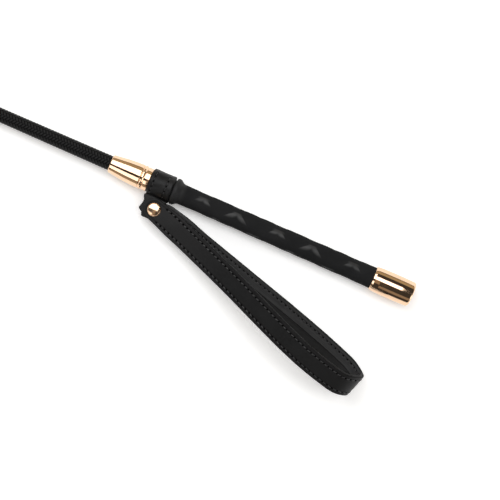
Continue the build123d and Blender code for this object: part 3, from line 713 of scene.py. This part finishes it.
def strap_path():
    cols = [STATIONS[:, k] for k in range(5)]
    L = np.arange(12.0, 165.0, 0.5)
    leg = np.stack([L] + [np.interp(L, cols[0], c) for c in cols[1:]], 1)
    flat = np.arange(-END_R, 12.0, 0.5)
    head = np.stack([flat, np.full_like(flat, 3.35), 0 * flat, 0 * flat, 0 * flat], 1)
    leg = np.concatenate([head, leg])
    p = np.linspace(0, math.pi, 91)
    q = np.sin(p) ** 2
    last = STATIONS[-1]
    bend = np.stack([last[0] + REACH * np.sin(p), last[1] * np.cos(p), last[2] + (B_TILT - last[2]) * q,
                     last[3] + (B_OFF - last[3]) * q, last[4] + (B_RISE - last[4]) * q], 1)
    back = leg[::-1].copy()
    back[:, 1] *= -1
    # next to the rivet the lower leg peeps out beside the upper one
    ease = lambda q: np.clip(q, 0, 1) ** 2 * (3 - 2 * np.clip(q, 0, 1))
    back[:, 3] += 1.4 * ease((back[:, 0] - 2) / 9) * (1 - ease((back[:, 0] - 14) / 26))
    S = np.concatenate([leg, bend, back])

    def place(S):
        t = np.radians(S[:, 2])
        w = np.cos(t)[:, None] * E_S + np.sin(t)[:, None] * E_Z
        nn = np.cos(t)[:, None] * E_Z - np.sin(t)[:, None] * E_S
        c = RIVET + S[:, :1] * E_L + S[:, 3:4] * E_S + S[:, 4:5] * E_Z + S[:, 1:2] * nn
        return c, w

    C, Wd = place(S)
    arc = np.concatenate([[0], np.cumsum(np.linalg.norm(np.diff(C, axis=0), axis=1))])
    total = arc[-1]
    n = int(round(total / 0.37))
    a = np.linspace(0, total, n + 1)
    C = np.stack([np.interp(a, arc, C[:, k]) for k in range(3)], 1)
    Wd = np.stack([np.interp(a, arc, Wd[:, k]) for k in range(3)], 1)
    # even out the joints between stretches, leaving the flat ends alone
    win = 27
    ker = np.hanning(win + 2)[1:-1]
    ker /= ker.sum()
    keep = np.clip((np.minimum(a, total - a) - 18.5) / 8, 0, 1)[:, None]

    def smooth(Z):
        pad = np.concatenate([np.repeat(Z[:1], win // 2, 0), Z, np.repeat(Z[-1:], win // 2, 0)])
        out = np.stack([np.convolve(pad[:, k], ker, "valid") for k in range(3)], 1)
        return Z * (1 - keep) + out * keep

    for _ in range(2):
        C, Wd = smooth(C), smooth(Wd)
    Tn = np.gradient(C, axis=0)
    Tn /= np.linalg.norm(Tn, axis=1)[:, None]
    Wd -= (Wd * Tn).sum(1)[:, None] * Tn
    Wd /= np.linalg.norm(Wd, axis=1)[:, None]
    N = np.cross(Wd, Tn)
    if N[0, 2] < 0:
        N = -N
    return a, C, Wd, N, Tn, total


ARC, SC, SW, SN, ST, TOTAL = strap_path()
edge_d = np.minimum(ARC, TOTAL - ARC)
half_w = np.where(edge_d < END_R, np.sqrt(np.clip(END_R ** 2 - (END_R - edge_d) ** 2, 0.02, None)),
                  END_R + (FULL_W / 2 - END_R) * (lambda q: q * q * (3 - 2 * q))(
                      np.clip((edge_d - END_R) / np.where(ARC > TOTAL / 2, 9, 19), 0, 1)))
ROW = FULL_W / 2 - 2.75
PITCH = 3.7
FIRST = 14.2
count = int((TOTAL - 2 * FIRST) // PITCH)
start = (TOTAL - count * PITCH) / 2
stitch_at = start + PITCH * (np.arange(count) + 0.5)
holes_at = start + PITCH * np.arange(count + 1)
cross = np.concatenate([[-8.1, -7.6, -7.0, -6.5], np.linspace(-6.25, -5.15, 7), [-4.8, -4.2, -3.2, -2, -1, -0.4, 0, 0.2, 0.35, 0.5, 0.7, 1.1, 2, 3.2, 4.2, 4.8],
                        np.linspace(5.15, 6.25, 7), [6.5, 7.0, 7.6, 8.1]])


def strap_relief(arc, a):
    along = np.abs(((arc - start + PITCH / 2) % PITCH) - PITCH / 2)
    near = np.minimum(arc, TOTAL - arc)
    active = np.clip((near - FIRST + 1.0) / 1.0, 0, 1)
    # the creased line runs on round the rivet, closer to the edge there
    q = np.clip((near - END_R) / (FIRST - END_R), 0, 1)
    reach = np.where(near < END_R, np.hypot(END_R - near, a), np.abs(a))
    d = np.abs(reach - ((END_R - 2.0) * (1 - q) + ROW * q))
    groove = -0.16 * np.exp(-(d / 0.6) ** 2)
    pit = np.exp(-((along / 0.72) ** 4 + (d / 0.56) ** 4)) * active
    crown = 0.12 * np.exp(-(a / 4.0) ** 4)
    rim = 0.10 * np.exp(-((reach - ((END_R - 1.0) * (1 - q) + 7.1 * q)) / 0.7) ** 2)
    pull = 0.035 * np.cos(2 * math.pi * (arc - start) / PITCH) * np.exp(-((d - 1.0) / 0.8) ** 2)
    level = groove - 0.45 * pit + rim - pull * active + crown * np.clip(active + 0.3, 0, 1)
    # the second value is painted shade: near black in the stitch holes, darker along the stitch groove
    return level, np.clip(1.15 * pit + 0.35 * np.exp(-(d / 0.45) ** 2), 0, 1)


def lining_relief(arc, a):
    level, dark = strap_relief(arc, a)
    ends = np.clip((np.minimum(arc, TOTAL - arc) - 14.0) / 3.0, 0, 1)
    seam = np.exp(-(((a - 0.35) / 0.24) ** 2)) * ends
    proud = np.clip((np.minimum(arc, TOTAL - arc) - 22.0) / 6.0, 0, 1)
    level = np.where(level > 0, level * proud, level)
    # the seam groove is painted dark as well: painted shade in the crease
    return level - 0.28 * seam, np.clip(dark + seam, 0, 1)


ribbon_mesh("strap_outer_ply", SC, SW, SN, -half_w, half_w, HALF - 1.4 + 0.03, HALF, cross, STRAP, "wrist_loop",
            ("strap_outer",), corner=0.42, relief_top=strap_relief, arc=ARC)
ribbon_mesh("strap_lining_ply", SC, SW, SN, -half_w + 0.12, half_w - 0.12, -HALF, HALF - 1.4 - 0.03, cross, LINING, "wrist_loop",
            ("strap_lining",), corner=0.38, relief_bottom=lining_relief, arc=ARC)


def strap_stitches():
    places = []
    for q in stitch_at:
        i = int(round(q / TOTAL * (len(ARC) - 1)))
        for sgn in (1, -1):
            slant = math.radians(7) * sgn
            along = ST[i] * math.cos(slant) + SW[i] * math.sin(slant)
            across = SW[i] * math.cos(slant) - ST[i] * math.sin(slant)
            places.append((SC[i] + SW[i] * sgn * ROW + SN[i] * (HALF + 0.0), along, across, SN[i]))
            if min(q, TOTAL - q) > 21.5:
                places.append((SC[i] + SW[i] * sgn * ROW - SN[i] * (HALF + 0.0), along, across, -SN[i]))
    stitch_mesh("strap_stitches", places, 2.6, 0.35, LIT_THREAD, "wrist_loop", ("strap_thread",), sink=0.5)


strap_stitches()

# ------------------------------------------------------------------------------------------------
# collar: band round the neck whose ends meet as a rough-cut tab
# ------------------------------------------------------------------------------------------------
CX0, CX1 = 179.6, 194.6


def collar():
    R, f, zt = 8.5, 1.08, 1.05
    yc = math.sqrt((R + f) ** 2 - (zt + f) ** 2)
    th = math.atan2(zt + f, yc)
    pts = [(y, zt) for y in np.arange(24.4, yc, -0.25)]
    for t in np.linspace(-math.pi / 2, -math.pi + th, 9):
        pts.append((yc + f * math.cos(t), zt + f + f * math.sin(t)))
    for t in np.linspace(th, 2 * math.pi - th, 150)[1:-1]:
        pts.append((R * math.cos(t), R * math.sin(t)))
    pts += [(y, -z) for y, z in pts[:len([0 for _ in np.arange(24.4, yc, -0.25)]) + 9][::-1]]
    P = np.array(pts)
    T = np.gradient(P, axis=0)
    T /= np.linalg.norm(T, axis=1)[:, None]
    N2 = np.stack([-T[:, 1], T[:, 0]], 1)
    # outward: away from the ring's middle, up on the upper ply
    if N2[2, 1] < 0:
        N2 = -N2
    n = len(P)
    C = np.stack([np.full(n, (CX0 + CX1) / 2), P[:, 0], P[:, 1]], 1)
    Wd = np.tile([1.0, 0, 0], (n, 1))
    N = np.stack([np.zeros(n), N2[:, 0], N2[:, 1]], 1)
    y = P[:, 0]
    on_tab = y > 8.9
    hi_x = np.interp(y, [8.9, 9.8, 10.6, 13.3, 16.2, 19.4, 20.6, 21.4, 23.9, 24.4],
                     [193.5, 194.2, 194.2, 192.9, 193.1, 194.1, 193.2, 191.5, 190.5, 189.6])
    lo_x = np.interp(y, [8.9, 22.4, 24.4], [179.6, 179.7, 181.8])
    jag = 0.16 * np.sin(y * 5.1) + 0.12 * np.sin(y * 9.7 + 1)
    hi_x = np.where(on_tab, hi_x + jag * np.clip((y - 9) / 2, 0, 1), 193.6 - 0.3 * y / R)
    k = np.clip((y - 8.9) / 3.0, 0, 1)
    k = k * k * (3 - 2 * k)
    lo_x = np.where(on_tab, lo_x * k + 177.3 * (1 - k), 177.65 - 0.35 * y / R)
    k = np.clip((y - 8.6) / 1.6, 0, 1)
    tk = 0.7 + 0.25 * k
    arc = np.concatenate([[0], np.cumsum(np.linalg.norm(np.diff(P, axis=0), axis=1))])
    mid = (CX0 + CX1) / 2
    rows = (181.9 - mid, 191.2 - mid)
    pitch = 3.55
    gate = np.clip((np.minimum(arc, arc[-1] - arc) - 16.5) / 1.5, 0, 1)

    def relief(arc_, a):
        ph = np.abs(((arc_ + pitch / 2) % pitch) - pitch / 2)
        d = np.minimum(np.abs(a - rows[0]), np.abs(a - rows[1]))
        gr = -0.10 * np.exp(-(d / 0.5) ** 2)
        ho = -0.40 * np.exp(-((ph / 0.45) ** 2 + (d / 0.42) ** 2))
        lip = 0.20 * np.exp(-((a + 8.3) / 0.85) ** 2)
        waves = 0.05 * np.sin(arc_ * 0.9 + a * 0.3) + 0.03 * np.sin(arc_ * 2.1 + a)
        # painted shade: the stitch holes are painted near black and the stitch grooves darker
        dark = np.clip(-ho / 0.36 + 0.3 * np.exp(-(d / 0.45) ** 2), 0, 1) * gate
        return (gr + ho) * gate + (lip + waves) * gate, dark

    cs = np.concatenate([[-7.2, -6.9, -6.6, -6.2, -5.8, -5.3], np.linspace(-4.9, -2.5, 13), [-2.0, -1.2, 0, 1.2, 2.4, 3.4],
                         np.linspace(4.1, 6.4, 13), [6.6, 6.9, 7.2]])
    ob = ribbon_mesh("collar_band", C, Wd, N, lo_x - mid, hi_x - mid, -tk, tk, cs, COLLAR, "collar",
                     ("collar_leather",), corner=0.38, relief_top=relief, arc=arc)
    fix_normals(ob)
    places = []
    total = arc[-1]
    for q in np.arange(math.ceil(17.5 / pitch) + 0.5, (total - 17.5) / pitch, 1.0) * pitch:
        i = int(np.argmin(np.abs(arc - q)))
        tan = np.array([0, T[i, 0], T[i, 1]])
        for r in rows:
            places.append((C[i] + Wd[i] * r + N[i] * (tk[i] - 0.08), tan, Wd[i], N[i]))
    stitch_mesh("collar_stitches", places, 2.7, 0.26, DARK_THREAD, "collar", ("collar_thread",))


collar()

# ------------------------------------------------------------------------------------------------
# rivet: dome with a thin flange
# ------------------------------------------------------------------------------------------------


def dome(base, rim, side, height, shoulder, flange=0.0):
    """Nearly flat crown with a rolled-over edge, and a sloping flange round it if it has one."""
    pts = [(base, 0.0), (base, rim - 0.2), (base + 0.12, rim - 0.03), (base + side * 0.6, rim)]
    if flange:
        pts += rounded([(base + side * 0.6, rim), (base + side, rim, 0.1), (base + side + flange * 1.15, rim - flange + 0.1, 0.06),
                        (base + side + flange * 1.0, rim - flange, 0.03), (base + side + flange * 1.15, rim - flange)], 4)[1:]
        rim, base = rim - flange, base + flange * 1.15
    r0 = rim - shoulder
    sphere = (r0 ** 2 + height ** 2) / (2 * height)
    tilt = math.asin(r0 / sphere)
    for k in range(1, 9):
        t = (math.pi / 2 - tilt) * k / 8
        pts.append((base + side + shoulder * math.sin(t), rim - shoulder * (1 - math.cos(t))))
    z0, r1 = pts[-1]
    sphere = r1 / math.sin(tilt)
    for k in range(1, 19):
        r = r1 * math.cos(math.pi / 2 * k / 18)
        pts.append((z0 + math.sqrt(sphere ** 2 - r ** 2) - sphere * math.cos(tilt), r if k < 18 else 0.0))
    return pts


lathe("rivet_dome", dome(4.7, 4.85, 0.2, 0.5, 0.45, flange=0.75), 96, RIVET_GOLD, "collar", ("rivet_cap",), axis="z",
      at=(RIVET[0], RIVET[1], 0), sharp=40)

# ------------------------------------------------------------------------------------------------
# keeper: folded leather tongue
# ------------------------------------------------------------------------------------------------
KH = 1.55


def keeper():
    # the plies start inside the ferrule's slot
    xs = np.concatenate([np.arange(566.8, 636.0, 0.4), np.linspace(636.0, 639.95, 24)])
    hw = np.interp(xs, [566, 574.5, 582, 588, 597, 603, 610, 641], [4.2, 4.2, 4.4, 6.0, 11.8, 14.2, 15.0, 15.0])
    ker = np.hanning(17)[1:-1]
    ker /= ker.sum()
    hw = np.convolve(np.concatenate([np.full(7, hw[0]), hw, np.full(7, hw[-1])]), ker, "valid")
    # rounded corners at the free end
    d = 639.95 - xs
    hw = hw - np.where(d < 2.2, 2.2 - np.sqrt(np.clip(2.2 ** 2 - (2.2 - d) ** 2, 0, None)), 0)
    pitch = 3.4
    row = hw - 2.3

    def rel(arc, a):
        dd = np.abs(np.abs(a) - row)
        act = np.clip((xs - 601) / 2, 0, 1) * np.clip((637 - xs) / 1, 0, 1)
        ph = np.abs(((xs + pitch / 2) % pitch) - pitch / 2)
        g = -0.12 * np.exp(-(dd / 0.5) ** 2) - 0.4 * np.exp(-((ph / 0.42) ** 2 + (dd / 0.4) ** 2))
        lift = 0.18 * np.exp(-((xs - 612) / 14) ** 2) * np.exp(-(a / 9) ** 2)
        # painted shade: the stitch holes are painted near black and the stitch grooves darker
        dark = np.clip(np.exp(-((ph / 0.6) ** 4 + (dd / 0.5) ** 4)) + 0.3 * np.exp(-(dd / 0.45) ** 2), 0, 1)
        return g * act - lift * 0.5, dark * act

    samples = np.concatenate([[-14.6, -14.0, -13.5], np.linspace(-13.2, -12.1, 7), np.linspace(-11.6, 11.6, 17),
                              np.linspace(12.1, 13.2, 7), [13.5, 14.0, 14.6]])
    n = len(xs)
    N = np.tile([0, 0, 1.0], (n, 1))
    # the free end is the fold: both plies come round it
    fold = np.clip((d - 0) / 1.5, 0, 1)
    th = np.sqrt(np.clip(1 - (1 - np.clip(d / 1.5, 0, 1)) ** 2, 0.01, 1))
    for tag, sgn in (("upper", 1), ("lower", -1)):
        C = np.stack([xs, np.zeros(n), np.zeros(n)], 1)
        Wd = np.tile([0, 1.0, 0], (n, 1))
        top = np.maximum(KH * th, 0.25)
        gap = np.where(xs < 592, 0.02, 0.14) * np.clip(d / 2, 0, 1)
        ob = ribbon_mesh("keeper_" + tag, C, Wd, N * sgn, -hw, hw, gap + 0.01, top, samples, KEEPER, None,
                         ("keeper_leather", "keeper_root") if sgn == 1 else (), corner=0.4, relief_top=rel, arc=xs)
        fix_normals(ob)
        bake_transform(ob)
    places = []
    for q in np.arange(math.ceil(602 / pitch) + 0.5, 636 / pitch, 1.0) * pitch:
        i = int(np.argmin(np.abs(xs - q)))
        for sy in (1, -1):
            for sz in (1, -1):
                places.append(((xs[i], sy * row[i], sz * (KH * th[i] - 0.06)), (1, 0, 0), (0, 1, 0), (0, 0, sz)))
    stitch_mesh("keeper_stitches", places, 2.6, 0.26, LIT_THREAD, "keeper", ("keeper_thread",))


keeper()
kr = dome(KH - 0.05, 3.0, 0.2, 0.35, 0.45)
lathe("keeper_rivet_head", kr, 72, RIVET_GOLD, "keeper", ("keeper_rivet",), axis="z", at=(586.0, 0, 0), sharp=40)
kr2 = [(-a, r) for a, r in kr][::-1]
lathe("keeper_rivet_back", kr2, 72, RIVET_GOLD, "keeper", (), axis="z", at=(586.0, 0, 0), sharp=40)

# ------------------------------------------------------------------------------------------------
# stage, light and camera
# ------------------------------------------------------------------------------------------------
FLOOR = -9.5
me = bpy.data.meshes.new("floor")
s = 6.0
me.from_pydata([(-s, -s, FLOOR * MM), (s, -s, FLOOR * MM), (s, s, FLOOR * MM), (-s, s, FLOOR * MM)], [], [(0, 1, 2, 3)])
floor = bpy.data.objects.new("floor", me)
bpy.context.scene.collection.objects.link(floor)
fm, fnt, fb = base_material("floor_white")
fb.inputs["Base Color"].default_value = (0.95, 0.95, 0.95, 1)
fb.inputs["Emission Color"].default_value = (1, 1, 1, 1)
fb.inputs["Emission Strength"].default_value = 0.25
fb.inputs["Roughness"].default_value = 0.9
fb.inputs["Specular IOR Level"].default_value = 0.1
me.materials.append(fm)

CAM = Vector((0.1131, 0.01607, 0.950))


def area(name, pos, target, size_x, size_y, radiance, spin=0.0, colour=(1, 1, 1)):
    ld = bpy.data.lights.new(name, "AREA")
    ld.shape = "RECTANGLE"
    ld.size, ld.size_y = size_x, size_y
    ld.energy = radiance * math.pi * size_x * size_y
    ld.color = colour
    ob = bpy.data.objects.new(name, ld)
    pos, target = Vector(pos), Vector(target)
    z = (pos - target).normalized()
    x = Vector((1, 0, 0))
    x = (x - z * x.dot(z)).normalized()
    y = z.cross(x)
    ob.matrix_world = Matrix((x, y, z)).transposed().to_4x4()
    ob.location = pos
    bpy.context.scene.collection.objects.link(ob)
    ob.visible_camera = False
    return ob


def panel(name, x0, x1, lo, hi, dist, radiance, colour=(1, 1, 1)):
    """A soft box facing the stick between two angles from the zenith (+ towards -Y), x0 to x1 long."""
    mid, half = math.radians((lo + hi) / 2), math.radians(abs(hi - lo) / 2)
    cx = (x0 + x1) / 2
    pos = (cx, -dist * math.sin(mid), dist * math.cos(mid))
    return area(name, pos, (cx, 0, 0), x1 - x0, 2 * dist * math.tan(half), radiance, colour=colour)


panel("key_panel", -0.207, 1.4, -0.5, 27, 1.25, 3.1)
wash = panel("wash_panel", -1.5, -0.207, -0.5, 27, 1.25, 3.1)
wash.visible_glossy = False
panel("key_panel_front", 0.16, 1.4, 27, 52, 1.25, 2.5)
panel("far_side_panel", 0.31, 1.3, -58, -24, 1.25, 2.0)
panel("dim_panel", -0.02, 0.30, -34, -3, 1.25, 0.26, (1.0, 0.78, 0.52))
panel("low_panel", -1.2, 1.4, 57, 84, 1.5, 0.38, (1.0, 0.84, 0.52))
panel("low_panel_front", 0.3, 1.4, -92, -66, 1.5, 0.30, (1.0, 0.86, 0.6))
panel("far_low_panel", -1.2, -0.05, -64, -42, 1.5, 0.25, (1.0, 0.80, 0.58))

area("end_panel", (-1.5, 0.42, 0.42), (0, 0.05, 0.0), 1.0, 0.9, 2.2)

world = bpy.data.worlds.new("studio")
world.use_nodes = True
bg = world.node_tree.nodes["Background"]
bg.inputs["Color"].default_value = (0.05, 0.047, 0.043, 1)
bg.inputs["Strength"].default_value = 1.0
bpy.context.scene.world = world

cd = bpy.data.cameras.new("camera")
cd.sensor_width = 36.0
cd.lens = 36.0 * 950.0 / 340.0
cd.clip_start, cd.clip_end = 0.01, 20
cam = bpy.data.objects.new("camera", cd)
rot = math.radians(180 + 23.626)
cam.matrix_world = Matrix.Rotation(rot, 4, "Z")
cam.location = CAM
bpy.context.scene.collection.objects.link(cam)
bpy.context.scene.camera = cam
bpy.context.scene.view_settings.view_transform = "Standard"
bpy.context.scene.view_settings.look = "None"
